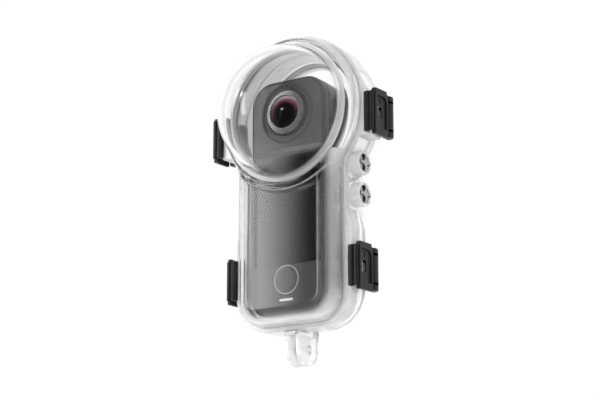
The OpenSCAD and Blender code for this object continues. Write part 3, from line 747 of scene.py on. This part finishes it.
def plain_finish(name, colour, roughness, grain=0.0, grain_scale=400.0, metal=0.0, coat=0.0, mottling=0.06,
                 specular=0.5):
    """Moulded or turned stuff: fine grain in the surface and slight unevenness of colour."""
    made = bpy.data.materials.new(name)
    finish = Finish(made)
    place = finish.node("ShaderNodeTexCoord")["Object"]
    fine, broad = (finish.node("ShaderNodeTexNoise", None, {
        "Vector": place, "Scale": scale, "Detail": 3.0})["Fac"] for scale in (grain_scale * 6, 60.0))
    dark = tuple(c * (1 - mottling) for c in colour) + (1,)
    light = tuple(min(1, c * (1 + mottling)) for c in colour) + (1,)
    stops = [(0.35, dark), (0.65, light)]
    paint = finish.node("ShaderNodeValToRGB", {"stops": stops}, {"Fac": broad})["Color"]
    rough = roughness * 0.85 + broad * (roughness * 0.3)
    inputs = {"Base Color": paint, "Roughness": rough, "Metallic": metal, "Specular IOR Level": specular}
    if coat:
        inputs["Coat Weight"] = coat
        inputs["Coat Roughness"] = 0.05
    if grain:
        inputs["Normal"] = finish.node("ShaderNodeBump", None, {
            "Height": fine, "Strength": grain, "Distance": 0.00012})["Normal"]
    body = finish.node("ShaderNodeBsdfPrincipled", None, inputs)
    finish.node("ShaderNodeOutputMaterial", None, {"Surface": body["BSDF"]})
    return made


def wear(node, finish):
    """Gives a CAD node its finish."""
    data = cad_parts[node].data
    data.materials.clear()
    data.materials.append(finish)


silicone = clear_plastic("clear_silicone_rubber", (0.95, 0.955, 0.96, 1), 0.3, 1.41)
for node in ("main_gasket", "front_dome_seal", "rear_dome_seal"):
    wear(node, silicone)

# ---- Latches ------------------------------------------------------------------------
# Four black glass-filled nylon draw latches. A hooked plate with a recessed panel and a
# slot through it pulls the front flange back as the grip bar behind it folds down on its
# steel fulcrum pin.

nylon = plain_finish("black_nylon", (0.012, 0.012, 0.0125), 0.36, grain=0.1, grain_scale=500,
                     mottling=0.25, specular=0.2)
pin_steel = plain_finish("pin_steel", (0.62, 0.63, 0.65), 0.22, grain=0.05, metal=1.0)
LATCH_HALF = 12.0
# The link pin's place, then how far along the latch the plate's and the lever's arms stand
LINK_OUT, LINK_DEEP = 2.0, 7.0
ARM_IN, ARM_OUT = 6.95, 8.05
LEVER_ARM_IN, LEVER_ARM_OUT = 2.8, 4.0


def latch_solid(name, corner, profile, half, soft=0.45):
    """A bar along the latch: profile holds (outward, depth), with eased ends."""
    side, pad, middle = latch_seat(corner)
    centre = (sum(a for a, y in profile) / len(profile), sum(y for a, y in profile) / len(profile))
    rings = []
    for z, shrink in ((-half, soft), (-half + soft * 0.3, soft * 0.3), (-half + soft, 0),
                      (half - soft, 0), (half - soft * 0.3, soft * 0.3), (half, soft)):
        ring = []
        for a, y in profile:
            reach = math.hypot(a - centre[0], y - centre[1])
            k = max(0.0, 1 - shrink / reach)
            ring.append((side * (pad + centre[0] + (a - centre[0]) * k),
                         centre[1] + (y - centre[1]) * k, middle + z))
        rings.append(ring)
    return solid_from_rings(name, rings)


def arched_panel(name, corner, a0, a1, y0, y1, z0, z1, corner_r):
    """A recess tool whose far upper corner is rounded off."""
    side, pad, middle = latch_seat(corner)
    outline = [(y0, z0), (y1, z0)]
    outline += [(y1 - corner_r + corner_r * math.cos(t), z1 - corner_r + corner_r * math.sin(t))
                for t in (math.pi / 2 * i / 8 for i in range(9))]
    outline += [(y0, z1)]
    return solid_from_rings(name, [[(side * (pad + a), y, middle + z) for y, z in outline] for a in (a0, a1)])


for corner in CORNERS:
    hook = latch_solid("latch_plate_" + corner, corner, eased([
        (3.0, -7.9, 0.1), (2.2, -7.9, 0.2), (0.05, -7.14, 0.05), (-1.2, -8.36, 0.15), (-1.2, -9.9, 0.4),
        (-0.5, -10.5, 0.5), (0.9, -10.8, 0.6), (1.7, -10.5, 0.3), (1.9, -9.75, 0.15), (2.6, -9.75, 0.15),
        (2.8, -10.45, 0.25), (3.9, -10.6, 0.6), (4.75, -10.1, 0.5), (4.75, -9.35, 0.3), (3.4, -9.2, 0.2),
        (3.3, -8.5, 0.1)], 0.3), 10.3)
    plate = latch_solid("plate", corner, eased([
        (2.9, -8.75, 0.3), (5.25, -8.75, 0.5), (5.25, 3.4, 0.45), (3.7, 3.4, 0.3), (3.7, -7.2, 0.2),
        (2.9, -7.4, 0.2)], 0.3), LATCH_HALF)
    carve(hook, plate, "UNION")
    for way in (-1, 1):
        near, far = sorted((way * ARM_IN, way * ARM_OUT))
        for arm in (latch_block("arm_root", corner, 1.2, 3.9, 1.4, 3.39, near, far),
                    latch_block("arm", corner, 1.2, 3.45, 1.4, LINK_DEEP, near, far),
                    latch_rod("eye", corner, LINK_OUT, LINK_DEEP, near, far, EYE_R)):
            carve(hook, arm, "UNION")
    for cut in (latch_rod("pin_hole", corner, LINK_OUT, LINK_DEEP, -LATCH_HALF, LATCH_HALF, 0.75),
                arched_panel("panel", corner, 4.3, 6.5, -6.9, 2.2, -8.4, 8.6, 3.2),
                latch_block("upper_recess", corner, 4.0, 6.5, -5.3, -2.4, 4.4, 7.4),
                latch_block("slot", corner, 2.0, 6.5, -6.3, -1.5, -3.0, 3.0),
                latch_block("top_notch", corner, 2.0, 6.5, 2.2, 4.0, LATCH_HALF - 1.5, LATCH_HALF + 1)):
        carve(hook, cut, "DIFFERENCE")
    soften(hook, 30)
    hook.data.materials.append(nylon)
    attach(hook, "link_" + corner)
    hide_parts("latch_link_" + corner)

    grip = latch_solid("latch_grip_" + corner, corner, eased([
        (0.5, 4.15, 0.5), (3.6, 4.1, 0.6), (5.0, 5.2, 0.8), (5.45, 6.6, 0.9), (5.2, 8.6, 1.3),
        (3.9, 10.4, 1.3), (1.9, 10.8, 1.0), (0.5, 10.3, 0.7)], 0.8, 5), LATCH_HALF - 1.0, soft=0.9)
    for way in (-1, 1):
        near, far = sorted((way * LEVER_ARM_IN, way * LEVER_ARM_OUT))
        carve(grip, latch_block("lever_arm", corner, 0.4, 3.2, FULCRUM_DEEP, 6.0, near, far), "UNION")
        eye = latch_rod("lever_eye", corner, FULCRUM_OUT, FULCRUM_DEEP, near + 0.01, far - 0.01, EYE_R)
        carve(grip, eye, "UNION")
    for way in (-1, 1):
        near, far = sorted((way * (ARM_IN - 0.1), way * (ARM_OUT + 0.1)))
        carve(grip, latch_block("arm_slot", corner, -1, 9, 3.0, 8.7, near, far), "DIFFERENCE")
    hole = latch_rod("fulcrum_hole", corner, FULCRUM_OUT, FULCRUM_DEEP, -LATCH_HALF, LATCH_HALF, 0.74)
    carve(grip, hole, "DIFFERENCE")
    soften(grip, 30)
    grip.data.materials.append(nylon)
    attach(grip, "lever_" + corner)
    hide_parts("latch_lever_" + corner)
    wear("latch_link_pin_" + corner, pin_steel)
wear("latch_fulcrum_pins", pin_steel)

# ---- Push buttons -------------------------------------------------------------------
# Two bosses on the rear shell hold polished caps on stainless shafts. Each cap has a
# cross-shaped crown; its shaft runs through a bushing with a rubber seal, is kept by a
# clip inside and is returned by a small coil spring.

polished_steel = plain_finish("polished_steel", (0.42, 0.425, 0.435), 0.16, grain=0.04, metal=1.0)
spring_steel = plain_finish("spring_steel", (0.55, 0.56, 0.58), 0.2, metal=1.0)
bushing_plastic = plain_finish("bushing_plastic", (0.78, 0.79, 0.8), 0.3)
seal_rubber = plain_finish("seal_rubber", (0.02, 0.02, 0.02), 0.6)
CAP_R = 4.6
SCOOP_R = 2.35
SPRING_WIRE, SPRING_TURNS, SPRING_STEPS = 0.22, 3.5, 96
for push in ("power", "quick"):
    low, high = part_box(push + "_push_head")
    top, middle = high.x / MM, (low.z + high.z) / 2 / MM
    seat = low.x / MM
    cap = turned_along_x("push_cap_" + push, middle, [
        (seat, CAP_R - 0.4), (seat + 0.4, CAP_R), (top - 1.0, CAP_R), (top - 0.35, CAP_R - 0.25),
        (top - 0.1, CAP_R - 0.7)], 64)
    for turn in range(4):
        a = math.radians(45 + 90 * turn)
        deep, shallow = ((x, r * math.cos(a), middle + r * math.sin(a))
                         for x, r in ((top - 1.3, 3.9), (top + 2, 4.3)))
        carve(cap, round_rod("scoop", deep, shallow, SCOOP_R, 40), "DIFFERENCE")
    socket = round_rod("shaft_socket", (seat - 1, 0, middle), (seat + 1.2, 0, middle), 1.5, 32)
    carve(cap, socket, "DIFFERENCE")
    soften(cap, 30)
    cap.data.materials.append(polished_steel)
    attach(cap, push + "_push")
    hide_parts(push + "_push_head")
    wear(push + "_push_shaft", polished_steel)
    wear(push + "_push_clip", spring_steel)
    low, high = (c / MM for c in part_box(push + "_push_spring"))
    coil_r = (high.z - low.z) / 2 - SPRING_WIRE - 0.03
    coil = []
    for i in range(SPRING_STEPS + 1):
        a = math.tau * SPRING_TURNS * i / SPRING_STEPS
        x = low.x + SPRING_WIRE + (high.x - low.x - 2 * SPRING_WIRE) * i / SPRING_STEPS
        coil.append(Vector((x, coil_r * math.cos(a), middle + coil_r * math.sin(a))))
    rings = []
    for i, here in enumerate(coil):
        along = (coil[min(i + 1, SPRING_STEPS)] - coil[max(i - 1, 0)]).normalized()
        out = (here - Vector((here.x, 0, middle))).normalized()
        across = along.cross(out)
        rings.append([here + (out * math.cos(a) + across * math.sin(a)) * SPRING_WIRE
                      for a in (math.tau * k / 10 for k in range(10))])
    spring = solid_from_rings("push_spring_" + push, rings)
    soften(spring, 60)
    spring.data.materials.append(spring_steel)
    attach(spring, "rear_case")
    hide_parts(push + "_push_spring")
    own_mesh(spring)
wear("push_bushings", bushing_plastic)
wear("push_shaft_seals", seal_rubber)

# ---- Camera body --------------------------------------------------------------------
# The camera's middle frame and its two covers are moulded in dark grey soft-touch
# plastic. The covers have small rolled edges, and a thin black band round each face is painted shade for a
# fine gap there.

body_grey = plain_finish("soft_touch_grey", (0.042, 0.0425, 0.044), 0.4, grain=0.1, grain_scale=700, coat=0.6)
frame_grey = plain_finish("frame_grey", (0.035, 0.0355, 0.037), 0.34, grain=0.08, grain_scale=700, coat=0.2)
# Painted shade: near black for the band that stands for the shadow in the gap round each face
painted_gap_shade = plain_finish("painted_gap_shade", (0.008, 0.008, 0.008), 0.5)
cam_low, cam_high = (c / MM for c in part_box("camera_frame"))
CAM_HALF = cam_high.x
CAM_TOP, CAM_BOTTOM = cam_high.z, cam_low.z
CAM_FACE = 13.0
SEAM = 9.4


def camera_outline(grow, top_r=12.5, low_r=12.0, steps=20):
    half = CAM_HALF + grow
    top, bottom = CAM_TOP + grow, CAM_BOTTOM - grow
    right = [(0, top)] + arc(half - top_r - grow, top - top_r - grow, top_r + grow, 90, 0, steps)
    right += arc(half - low_r - grow, bottom + low_r + grow, low_r + grow, 0, -90, steps)
    right.append((0, bottom))
    return both_halves(right)


def rounded_slab(name, x0, x1, z0, z1, r, depths, steps=8):
    """A plate facing the screen side with rounded corners: depths as for rolled_block."""
    def outline(grow):
        a0, a1, b0, b1, c = x0 - grow, x1 + grow, z0 - grow, z1 + grow, max(0.05, r + grow)
        return (arc(a1 - c, b1 - c, c, 90, 0, steps) + arc(a1 - c, b0 + c, c, 0, -90, steps)
                + arc(a0 + c, b0 + c, c, -90, -180, steps) + arc(a0 + c, b1 - c, c, 180, 90, steps))
    return solid_from_rings(name, [[(x, y, z) for x, z in outline(grow)] for y, grow in depths])


shutter_low, shutter_high = (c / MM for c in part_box("shutter_ring"))
SHUTTER_Z = (shutter_low.z + shutter_high.z) / 2
screen_low, screen_high = (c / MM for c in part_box("screen_glass"))
light_low, light_high = (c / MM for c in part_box("status_light"))
LENS_HOLE, KEY_HOLE = 12.45, 7.72
POCKET_GAP, KEY_TRAVEL = 0.08, 0.9

middle = rolled_block("camera_middle_frame", camera_outline, [
    (-SEAM + 0.3, -0.5), (-SEAM + 0.55, 0), (SEAM - 0.55, 0), (SEAM - 0.3, -0.5)])
carve(middle, rolled_block("hollow", camera_outline, [(-SEAM - 1, -1.6), (SEAM + 1, -1.6)]), "DIFFERENCE")
for node in ("side_grip", "battery", "usb_door", "power_button", "tripod_nut"):
    low, high = (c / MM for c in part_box(node))
    inner = low.x - POCKET_GAP - (KEY_TRAVEL if node == "power_button" else 0.0)
    outer, front, back = high.x + POCKET_GAP, low.y - POCKET_GAP, high.y + POCKET_GAP
    carve(middle, solid_from_rings("pocket", [
        [(x, y, z) for x, y in ((inner, front), (outer, front), (outer, back), (inner, back))]
        for z in (low.z - POCKET_GAP, high.z + POCKET_GAP)]), "DIFFERENCE")
soften(middle)
middle.data.materials.append(frame_grey)
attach(middle, "camera")
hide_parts("camera_frame")

for side, end in ((-1, "front"), (1, "rear")):
    cover = rolled_block("camera_%s_face" % end, camera_outline,
                         [(side * (SEAM + 0.2), -0.5)] + roll(side * (SEAM + 0.45), side * CAM_FACE, 1.3, 6))
    cuts = [rolled_block("hollow", camera_outline, [
                (side * (SEAM - 1), -1.6), (side * (CAM_FACE - 1.4), -1.6)]),
            round_rod("lens_hole", (0, side * 5, LENS_Z), (0, side * 30, LENS_Z), LENS_HOLE, 96)]
    if end == "front":
        through = [(-SEAM, 0), (-CAM_FACE - 1, 0)]
        cuts += [rounded_slab("screen_seat", screen_low.x - 0.05, screen_high.x + 0.05, screen_low.z - 0.05,
                              screen_high.z + 0.05, 1.2, through),
                 round_rod("key_hole", (0, -SEAM, SHUTTER_Z), (0, -30, SHUTTER_Z), KEY_HOLE, 72),
                 rounded_slab("light_slot", light_low.x, light_high.x, light_low.z, light_high.z,
                              0.5, through)]
    for cut in cuts:
        carve(cover, cut, "DIFFERENCE")
    soften(cover)
    cover.data.materials.append(body_grey)
    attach(cover, "camera")
    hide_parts("camera_%s_cover" % end)

    # A thin black band near the face's edge, painted shade standing in for the shadow in a fine gap
    gap_shade_band = rolled_block("face_gap_shade_" + end, camera_outline, [
        (side * (CAM_FACE - 0.6), -1.02), (side * (CAM_FACE + 0.02), -1.02)])
    carve(gap_shade_band, rolled_block("inner", camera_outline, [
        (side * (CAM_FACE - 3), -1.5), (side * (CAM_FACE + 1), -1.5)]), "DIFFERENCE")
    soften(gap_shade_band)
    gap_shade_band.data.materials.append(painted_gap_shade)
    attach(gap_shade_band, "camera")

# The lens module's raised plate, whose lower edge is a broad bevel
MODULE_LOW = CAM_TOP - 37.6
BEVEL_BACK, BEVEL_FRONT = MODULE_LOW - 6.3, MODULE_LOW + 3.5
plate = rolled_block("lens_module_plate", lambda grow: camera_outline(grow - 1.55), [
    (-CAM_FACE + 0.2, 0), (-CAM_FACE - 0.25, 0), (-CAM_FACE - 0.45, -0.35)])
carve(plate, solid_from_rings("below_module", [
    [(-30, -CAM_FACE + 1, z0), (30, -CAM_FACE + 1, z0), (30, -CAM_FACE - 1, z1), (-30, -CAM_FACE - 1, z1)]
    for z0, z1 in ((0, 0), (BEVEL_BACK, BEVEL_FRONT))]), "DIFFERENCE")
carve(plate, round_rod("lens_hole", (0, -5, LENS_Z), (0, -30, LENS_Z), 15.4, 96), "DIFFERENCE")
soften(plate, 20)
plate.data.materials.append(body_grey)
# Painted sheen: the bevel's downward faces get a grey about three times lighter than the rest of the same
# plate
plate.data.materials.append(plain_finish("module_chamfer_painted_sheen", (0.12, 0.121, 0.124), 0.35))
for face in plate.data.polygons:
    if face.normal.z < -0.1 and face.center.z < (MODULE_LOW + 4) * MM:
        face.material_index = 1
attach(plate, "camera")

# ---- Lenses -------------------------------------------------------------------------
# Each fisheye sits in a turned black barrel behind a stepped guard ring. Its domed front
# glass has an antireflection coating; its magenta sheen is a painted reflection.

guard_finish = plain_finish("guard_satin", (0.05, 0.051, 0.054), 0.3, coat=0.3)
barrel_finish = plain_finish("barrel_anodised", (0.1, 0.1, 0.105), 0.28, metal=0.4, coat=0.3)
pale_ring_finish = plain_finish("barrel_lip", (0.62, 0.62, 0.63), 0.27, metal=0.9)
front_glass = bpy.data.materials.new("coated_front_glass")
glass = Finish(front_glass)
place = glass.node("ShaderNodeSeparateXYZ", None, {"Vector": glass.node("ShaderNodeTexCoord")["Object"]})
# Painted reflection: the coating's magenta sheen is painted into the glass's colour as a crescent round its
# upper rim, palest at the top, over a black centre
aside, above = place["X"] - 0.5 * MM, place["Z"] - (LENS_Z - 3.0) * MM
reach = (aside * aside + above * above).root() * (1 / (8.5 * MM))
painted_coating_reflection = glass.node("ShaderNodeValToRGB", {"stops": [
    (0.0, (0.001, 0.001, 0.0015, 1)), (0.58, (0.001, 0.001, 0.0015, 1)), (0.64, (0.03, 0.008, 0.012, 1)),
    (0.73, (0.12, 0.035, 0.05, 1)), (0.83, (0.22, 0.095, 0.12, 1)), (0.93, (0.5, 0.39, 0.41, 1))]},
    {"Fac": reach * 0.74})["Color"]
# A painted catchlight: a small glowing spot on the glass stands in for the glint of light coming back from
# the elements behind it
left, high = place["X"] - 0.5 * MM, place["Z"] - (LENS_Z + 0.7) * MM
painted_catchlight = glass.fade((left * left + high * high * 2.5).root(), 1.15 * MM, 0.4 * MM)
coated = glass.node("ShaderNodeBsdfPrincipled", None, {
    "Base Color": painted_coating_reflection, "Roughness": 0.05, "IOR": 1.45, "Specular IOR Level": 0.12,
    "Emission Color": painted_catchlight, "Emission Strength": 0.45})
glass.node("ShaderNodeOutputMaterial", None, {"Surface": coated["BSDF"]})

for side, end in ((-1, "front"), (1, "rear")):
    guard = turned_ring("lens_guard_" + end, [(r, side * y) for r, y in (
        (12.5, 13.05), (16.2, 13.05), (16.35, 13.3), (15.3, 13.95), (15.0, 14.2), (14.4, 14.25), (13.9, 13.9),
        (13.2, 13.9), (12.9, 14.4), (12.5, 14.45))])
    soften(guard, 25)
    guard.data.materials.append(guard_finish)
    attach(guard, "camera")
    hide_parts(end + "_lens_ring")

    barrel = turned_ring("lens_barrel_" + end, [(r, side * y) for r, y in (
        (8.7, 5.0), (12.3, 5.0), (12.3, 15.0), (12.15, 15.35), (11.95, 15.45), (11.75, 15.3), (11.6, 14.8),
        (8.7, 14.8))])
    soften(barrel, 25)
    barrel.data.materials.append(barrel_finish)
    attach(barrel, "camera")
    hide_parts(end + "_lens_barrel")

    lip = turned_ring("lens_lip_" + end, [(r, side * y) for r, y in (
        (8.72, 15.3), (8.75, 16.2), (8.95, 16.38), (9.2, 16.35), (11.2, 15.6), (11.4, 15.3), (11.4, 14.9))])
    soften(lip, 60)
    lip.data.materials.append(pale_ring_finish)
    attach(lip, "camera")

    glass_r, rim, crown = 8.6, 15.5, 18.75
    rise_mm = crown - rim
    ball = (glass_r ** 2 + rise_mm ** 2) / (2 * rise_mm)
    span = math.asin(glass_r / ball)
    profile = [(ball * math.sin(span * i / 24), side * (crown - ball + ball * math.cos(span * i / 24)))
               for i in range(25)] + [(glass_r, side * 12.2), (0, side * 12.2)]
    element = turned_ring("lens_glass_" + end, profile, 128)
    soften(element, 40)
    element.data.materials.append(front_glass)
    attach(element, "camera")
    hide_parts(end + "_lens_glass")
    wear(end + "_image_sensor", plain_finish("sensor_" + end, (0.02, 0.05, 0.035), 0.3, coat=0.5))

# ---- Screen and front keys ----------------------------------------------------------
# A touch screen under black cover glass fills the front below the lens module. Under it
# sit the round shutter key with its pale ring and a short light pipe.

screen_black = plain_finish("screen_black", (0.008, 0.008, 0.009), 0.05, mottling=0.0)
screen = rounded_slab("screen_cover_glass", screen_low.x, screen_high.x, screen_low.z, screen_high.z, 1.2, [
    (-CAM_FACE + 1.2, 0), (-CAM_FACE, 0), (-CAM_FACE - 0.05, -0.12)])
soften(screen)
screen.data.materials.append(screen_black)
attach(screen, "camera")
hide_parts("screen_glass")
wear("display_panel", plain_finish("panel_black", (0.02, 0.02, 0.022), 0.3))

key_grey = plain_finish("key_grey", (0.042, 0.0425, 0.044), 0.35, grain=0.06, coat=0.6)
ring_pale = plain_finish("ring_pale", (0.62, 0.625, 0.63), 0.35, mottling=0.12)


def turned_at(name, centre_z, profile, segments=96):
    """A key turned about an axis along Y: profile holds (radius, depth)."""
    made = turned_ring(name, profile, segments)
    made.data.transform(Matrix.Translation((0, 0, (centre_z - LENS_Z) * MM)))
    return made


shutter = turned_at("shutter_key", SHUTTER_Z, [
    (0, -13.02), (4.5, -13.0), (6.4, -13.04), (6.95, -12.9), (6.95, -11.95), (7.6, -11.95),
    (7.6, -11.0), (0, -11.0)])
soften(shutter, 30)
shutter.data.materials.append(key_grey)
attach(shutter, "shutter_key")
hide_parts("shutter_button")
ring = turned_at("shutter_key_ring", SHUTTER_Z, [
    (6.98, -11.97), (6.98, -13.04), (7.06, -13.1), (7.36, -13.1), (7.44, -13.04), (7.44, -11.97)])
soften(ring, 30)
ring.data.materials.append(ring_pale)
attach(ring, "shutter_key")
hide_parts("shutter_ring")

light_pipe = bpy.data.materials.new("light_pipe")
pipe = Finish(light_pipe)
along = pipe.node("ShaderNodeSeparateXYZ", None, {"Vector": pipe.node("ShaderNodeTexCoord")["Object"]})["X"]
# Painted glow: the pipe's colour is painted brightest in its middle and darker towards both ends, and it
# gives off a faint light of its own
painted_glow = pipe.node("ShaderNodeValToRGB", {"stops": [
    (0.0, (0.8, 0.8, 0.8, 1)), (0.75, (0.7, 0.7, 0.71, 1)), (1.0, (0.5, 0.51, 0.53, 1))]},
    {"Fac": along.absolute() * (1 / (4.2 * MM))})["Color"]
lit = pipe.node("ShaderNodeBsdfPrincipled", None, {
    "Base Color": painted_glow, "Roughness": 0.3, "Emission Color": painted_glow, "Emission Strength": 0.12})
pipe.node("ShaderNodeOutputMaterial", None, {"Surface": lit["BSDF"]})
bar = rounded_slab(
    "status_light_pipe", light_low.x + 0.02, light_high.x - 0.02, light_low.z + 0.02, light_high.z - 0.02,
    0.45, [(-CAM_FACE + 1.3, 0), (-CAM_FACE, 0), (-CAM_FACE - 0.05, -0.1)])
soften(bar)
bar.data.materials.append(light_pipe)
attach(bar, "camera")
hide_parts("status_light")

# ---- Camera's sides and insides -----------------------------------------------------
# A fluted grip and a sealed connector door on the right, the battery's fluted wall on
# the left, the two side keys, and behind them the board, spreader, card and tripod nut.

wear("side_grip", frame_grey)
wear("battery", frame_grey)
wear("usb_door", plain_finish("door_rubber", (0.04, 0.04, 0.042), 0.5, grain=0.1))
side_key_finish = plain_finish("side_key", (0.03, 0.03, 0.032), 0.25, coat=0.4)
for node in ("power_button", "quick_button"):
    wear(node, side_key_finish)
wear("main_board", plain_finish("solder_mask", (0.01, 0.09, 0.045), 0.35, grain=0.2, coat=0.4))
wear("heat_spreader", plain_finish("rolled_copper", (0.75, 0.38, 0.22), 0.3, metal=1.0))
wear("memory_card", plain_finish("card_black", (0.02, 0.02, 0.02), 0.35))
wear("tripod_nut", plain_finish("turned_brass", (0.72, 0.52, 0.24), 0.25, metal=1.0))
